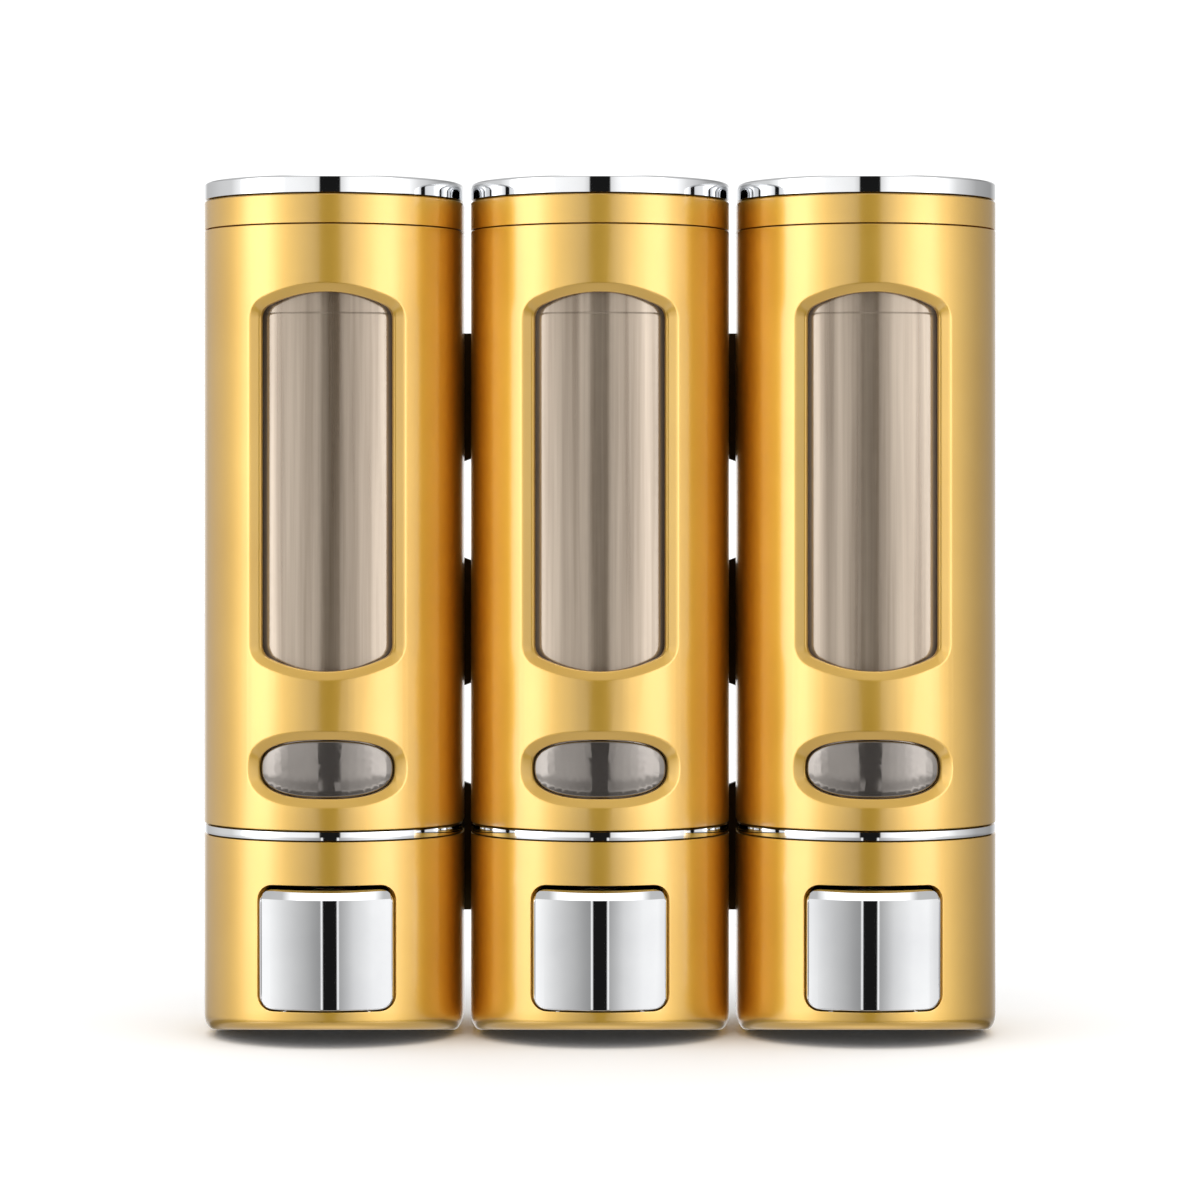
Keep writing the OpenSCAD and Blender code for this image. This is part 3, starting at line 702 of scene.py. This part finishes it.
casing = block("gold_casing", (-girth_end, 0, BAND_TOP), (girth_end, WALL, CASING_TOP))
w, h, arch, r = WINDOW
cut(casing, window_cutter(lambda e: arched_box(w + 2 * e, h + 2 * e, arch + e, r + e), WINDOW_MID))
cut(casing, window_cutter(lambda e: flat_oval(SIGHT[0] + 2 * e, SIGHT[1] + 2 * e), SIGHT_MID))
for z in (-BASE_Z - HOOK_Z, -BASE_Z + HOOK_Z):
    for end in (-girth_end, girth_end):
        cut(casing, block(
            "slot", (end - SLOT_HALF, -1, z - SLOT_DROP), (end + SLOT_HALF, WALL + 1, z + HOOK_T)))
open_ends(casing)
modify(casing, "BEVEL", width=GROOVE, segments=2, limit_method="ANGLE", angle_limit=radians(22))
wrap(casing)
smooth(casing, 28)
set_in_units(casing, "mounted_body", gold_lacquer, "casing_{}")

# ---------------------------------------------------------------------------------------------
# Sight lenses
# A glossy lens of smoked acrylic in the oval window, a little crowned and with an eased edge.
# ---------------------------------------------------------------------------------------------
# Smoked acrylic, polished, with a half-silvered look that mirrors the studio over a dark grey body.
smoked_acrylic = finish_material(
    "smoked_polished_acrylic", "#7C7671", "#88827D", grain=3, blotch=18, rough=(0.09, 0.12), bump=0.0003,
    Metallic=0.82, IOR=1.49, **{"Coat Weight": 0.6, "Coat Roughness": 0.03})

crown = ((0.25, 3.1), (0.25, 2.1), (0.4, 1.85), (0.75, 1.7), (2.0, 1.55), (4.0, 1.45), (6.0, 1.42))
lens = stack("smoked_lens", [
    [(laid_out(x), t, SIGHT_MID + z) for x, z in flat_oval(SIGHT[0] - 2 * inset, SIGHT[1] - 2 * inset)]
    for inset, t in crown])
facet(lens, [2.0 * i for i in range(-9, 10)])
for vertex in lens.data.vertices:
    vertex.co.x, vertex.co.y = bend(vertex.co.x, vertex.co.y)
smooth(lens, 40)
set_in_units(lens, "mounted_body", smoked_acrylic, "sight_lens_{}")

# ---------------------------------------------------------------------------------------------
# Bottles
# One blow-moulded bottle of smoked polypropylene stands in each casing, open at the top. Its neck
# goes down through the deck into the pump.
# ---------------------------------------------------------------------------------------------
BOTTLE_R = 29.3
BOTTLE_BACK = 29.3
BOTTLE_LOW, BOTTLE_TOP = 56.7, 201.3
BOTTLE_WALL = 1.8
BOTTLE_CORNER = 5.0
FOOT_R = 3
NECK_LOW, NECK_R, NECK_BORE = 43.2, 7.5, 4.2
FILL_LINE = 180.3

# Smoked polypropylene, translucent grey-brown and silky, with faint upright flow lines from blowing.
smoked_pp = finish_material(
    "smoked_translucent_polypropylene", "#7F6E5B", "#C0B09D", grain=1.6, blotch=4, rough=(0.12, 0.2),
    bump=0.0006, stretch=60, Metallic=0.5, IOR=1.49,
    **{"Transmission Weight": 0.25, "Coat Weight": 1.0, "Coat Roughness": 0.05, "Coat IOR": 1.5})


def bottle_ring(t, z):
    return outline(t, z, BOTTLE_R, BOTTLE_BACK, BOTTLE_CORNER)


quarter = [radians(a) for a in (90, 68, 45, 22, 0)]
bottle = stack("smoked_bottle", [bottle_ring(t, z) for t, z in [
    (4.2, BOTTLE_LOW + 2.4), (BOTTLE_WALL + 0.7, BOTTLE_LOW + 3.1), (BOTTLE_WALL, BOTTLE_LOW + 4.8),
    (BOTTLE_WALL, BOTTLE_TOP - EASE), (BOTTLE_WALL - EASE, BOTTLE_TOP), (EASE, BOTTLE_TOP),
    (0, BOTTLE_TOP - EASE), (0, FILL_LINE + 0.4), (0.15, FILL_LINE), (0, FILL_LINE - 0.4)] + [
    (FOOT_R - FOOT_R * sin(a), BOTTLE_LOW + FOOT_R - FOOT_R * cos(a)) for a in quarter]])
neck = stack("neck", [port(r, z) for r, z in (
    (NECK_R, BOTTLE_LOW + 0.5), (NECK_R, NECK_LOW), (NECK_BORE, NECK_LOW), (NECK_BORE, BOTTLE_LOW + 0.5))],
    tube=True)
join(bottle, neck)
smooth(bottle, 35)
set_in_units(bottle, "mounted_body", smoked_pp, "bottle_{}")

# ---------------------------------------------------------------------------------------------
# Lids
# A gold ring with a spigot that seals in the bottle's mouth, and a chrome-plated cap pressed over
# its boss. The lid lifts straight up to fill the bottle.
# ---------------------------------------------------------------------------------------------
RING_TOP = 209.5
LID_TOP = 214.1
CAP_ROUND = 0.6
WEB_LOW, WEB_TOP = 204.1, 206.1
BOSS_LOW, BOSS_TOP = 205.9, 211.7
MOUTH_R, MOUTH_CORNER = 27.2, 4.5

ring = stack("gold_lid_ring", [
    outline(WALL, CASING_TOP), outline(GROOVE_IN, CASING_TOP), outline(0, CASING_TOP + EASE),
    outline(0, RING_TOP - EASE), outline(EASE, RING_TOP), outline(WALL, RING_TOP)], tube=True)
web = stack("web", [outline(1.3, WEB_LOW), outline(1.3, WEB_TOP)])
boss = stack("boss", [outline(t, z) for t, z in (
    (2.4, BOSS_LOW), (2.4, BOSS_TOP - 0.2), (2.7, BOSS_TOP), (4.0, BOSS_TOP), (4.0, BOSS_LOW))], tube=True)


def spigot_ring(t, z):
    return outline(t, z, MOUTH_R, MOUTH_R, MOUTH_CORNER)


lid_spigot = stack("lid_spigot", [spigot_ring(t, z) for t, z in (
    (0.3, 195.5), (0, 196.2), (0, 198.5), (0.8, 198.5), (0.8, 200.5), (0, 200.5), (0, 204.3), (1.6, 204.3),
    (1.6, 195.8), (1.3, 195.5))], tube=True)
join(ring, web, boss, lid_spigot)
smooth(ring, 35)
set_in_units(ring, "lid_{}", gold_lacquer, "lid_ring_{}")

cap = stack("chrome_lid_cap", [outline(t, z) for t, z in [
    (2.2, BOSS_TOP + 0.2), (2.2, RING_TOP), (GROOVE_IN, RING_TOP), (0, RING_TOP + GROOVE_H)] + [
    (CAP_ROUND - CAP_ROUND * sin(a), LID_TOP - CAP_ROUND + CAP_ROUND * cos(a)) for a in quarter] + [
    (2.6, LID_TOP), (2.9, LID_TOP - 0.3), (3.4, LID_TOP - 0.3)]])
smooth(cap, 35)
set_in_units(cap, "lid_{}", chrome_plate, "lid_cap_{}")

# ---------------------------------------------------------------------------------------------
# Floor, lights and camera
# A pale floor close under the units in a white studio, brightest to the left and right of the
# front. The narrow dark gap straight ahead gives the polished parts their upright black line.
# ---------------------------------------------------------------------------------------------
FLOOR_GAP = 0.8

bpy.ops.object.select_all(action="DESELECT")
bpy.ops.mesh.primitive_plane_add(size=8, location=(0, 0, (BASE_Z - FLOOR_GAP) / 1000))
floor = bpy.context.object
floor.name = "pale_floor"
# Matt white studio sweep, seen from above only, so that the underside can be looked at too.
floor_paint = finish_material(
    "matt_white_studio_floor", "#F6F6F6", "#F9F9F9", grain=4, blotch=300, rough=(0.7, 0.8), bump=0.0,
    Metallic=0.0)
floor_nodes = {node.type: node for node in floor_paint.node_tree.nodes}
one_sided = add_node(floor_paint, "ShaderNodeMixShader", {
    0: add_node(floor_paint, "ShaderNodeNewGeometry", {}).outputs["Backfacing"],
    1: floor_nodes["BSDF_PRINCIPLED"].outputs[0],
    2: add_node(floor_paint, "ShaderNodeBsdfTransparent", {}).outputs[0]})
floor_paint.node_tree.links.new(one_sided.outputs[0], floor_nodes["OUTPUT_MATERIAL"].inputs["Surface"])
dress(floor, floor_paint)
floor.visible_glossy = False

# Brightness of the softboxes by the angle from the front, in degrees: at the level that the push buttons
# mirror, and elsewhere.
AT_BUTTONS = [
    (-180, 0.85), (-165, 0.80), (-150, 0.35), (-135, 0.42), (-118, 0.60), (-100, 0.62), (-84, 0.85),
    (-72, 1.20), (-56, 1.10), (-47, 0.92), (-40, 0.78), (-31, 0.64), (-22, 0.52), (-14, 0.40),
    (-7.7, 0.33), (-7.1, 1.20), (-6.3, 1.20), (-5.7, 0.01), (5.7, 0.01), (6.3, 1.20), (7.1, 1.20),
    (7.7, 0.42), (15, 0.60), (21, 0.78), (38, 1.05), (52, 1.10), (64, 0.80), (85, 0.55), (110, 0.28),
    (140, 0.20), (162, 0.50), (180, 0.85)]
ELSEWHERE = [
    (-180, 1.20), (-165, 1.10), (-150, 0.55), (-135, 0.60), (-118, 0.70), (-100, 0.75), (-88, 1.10),
    (-77, 2.70), (-58, 3.00), (-48, 1.70), (-40, 1.15), (-31, 1.10), (-22, 1.05), (-14, 0.98),
    (-9.2, 0.75), (-8.8, 0.01), (8.8, 0.01), (9.2, 0.80), (15, 1.10), (22, 1.30), (34, 1.80),
    (43, 2.60), (57, 2.80), (68, 1.40), (85, 0.85), (112, 0.45), (142, 0.35), (180, 1.10)]
# By the sine of the height: how far the second one holds, where the gaps between the softboxes darken them,
# and the brightness below and above them.
REST = [(-1, 1), (-0.26, 1), (-0.21, 0), (-0.14, 0), (-0.10, 1), (1, 1)]
GAPS = [
    (-1, 1), (-0.52, 1), (-0.44, 0.15), (-0.30, 0.15), (-0.25, 1), (0.28, 1), (0.34, 0.65),
    (0.46, 0.65), (0.54, 1), (1, 1)]
RISE = [(-1, 1.1), (-0.9, 0.6), (-0.5, 0.5), (0.5, 0.5), (0.9, 0.6), (0.95, 1.7), (1, 1.9)]
BRIGHTEST = 3.5
BACKDROP = 1.12

studio = bpy.data.worlds.new("white_studio")
scene.world = studio
studio.use_nodes = True
studio.node_tree.nodes.clear()


def brightness(value, low, high, stops, full=BRIGHTEST):
    """a ramp of grey over a value, in shares of the fullest level"""
    share = add_node(studio, "ShaderNodeMapRange", {"Value": value, "From Min": low, "From Max": high})
    ramp = add_node(studio, "ShaderNodeValToRGB", {"Fac": share.outputs["Result"]})
    bar = ramp.color_ramp
    for i, (at, level) in enumerate(stops):
        place = (at - stops[0][0]) / (stops[-1][0] - stops[0][0])
        ends = {0: bar.elements[0], len(stops) - 1: bar.elements[-1]}
        stop = ends[i] if i in ends else bar.elements.new(place)
        stop.position = place
        stop.color = (*[level / full] * 3, 1)
    return ramp.outputs["Color"]


outward = add_node(studio, "ShaderNodeTexCoord", {}).outputs["Generated"]
way = add_node(studio, "ShaderNodeSeparateXYZ", {0: outward})
forward = add_node(studio, "ShaderNodeMath", {0: way.outputs["Y"], 1: -1.0}, operation="MULTIPLY")
turn = add_node(studio, "ShaderNodeMath", {0: way.outputs["X"], 1: forward.outputs[0]}, operation="ARCTAN2")
height_size = add_node(studio, "ShaderNodeMath", {0: way.outputs["Z"]}, operation="ABSOLUTE")
aloft = add_node(studio, "ShaderNodeMapRange", {
    "Value": height_size.outputs[0], "From Min": 0.45, "From Max": 0.65}, interpolation_type="SMOOTHSTEP")
boxes = add_node(studio, "ShaderNodeMix", {
    0: brightness(way.outputs["Z"], -1, 1, REST, 1), 6: brightness(turn.outputs[0], -pi, pi, AT_BUTTONS),
    7: brightness(turn.outputs[0], -pi, pi, ELSEWHERE)}, data_type="RGBA")
banded = add_node(studio, "ShaderNodeVectorMath", {
    0: boxes.outputs[2], "Scale": brightness(way.outputs["Z"], -1, 1, GAPS, 1)}, operation="SCALE")
sky = add_node(studio, "ShaderNodeMix", {
    0: aloft.outputs["Result"], 6: banded.outputs[0], 7: brightness(way.outputs["Z"], -1, 1, RISE)},
    data_type="RGBA")
lit = add_node(studio, "ShaderNodeBackground", {"Color": sky.outputs[2], "Strength": BRIGHTEST})
# The camera and matt surfaces see plain white, and only the glossy ones see the softboxes.
seen = add_node(studio, "ShaderNodeBackground", {"Color": (1, 1, 1, 1), "Strength": BACKDROP})
rays = add_node(studio, "ShaderNodeLightPath", {})
plain = add_node(studio, "ShaderNodeMath", {
    0: rays.outputs["Is Camera Ray"], 1: rays.outputs["Is Diffuse Ray"]}, operation="MAXIMUM")
backdrop = add_node(studio, "ShaderNodeMixShader", {
    0: plain.outputs[0], 1: lit.outputs[0], 2: seen.outputs[0]})
add_node(studio, "ShaderNodeOutputWorld", {"Surface": backdrop.outputs[0]})

# One large soft lamp overhead settles the units on the floor.
overhead = bpy.data.lights.new("overhead_softbox", "AREA")
overhead.size = 0.8
overhead.energy = 3
lamp = bpy.data.objects.new("overhead_softbox", overhead)
lamp.location = (0, -0.35, 0.9)
lamp.rotation_euler = (radians(-20), 0, 0)
lamp.visible_camera = lamp.visible_glossy = False
bpy.context.collection.objects.link(lamp)

# A long lens straight in front, a little above the middle, shifted so that the upright edges stay upright.
camera_data = bpy.data.cameras.new("camera")
camera_data.sensor_width = 36
camera_data.lens = 122.2
camera_data.shift_y = -0.079
camera = bpy.data.objects.new("camera", camera_data)
camera.location = (0, -1.075, 0.0306)
camera.rotation_euler = (pi / 2, 0, 0)
bpy.context.collection.objects.link(camera)
scene.camera = camera
scene.view_settings.view_transform = "Standard"
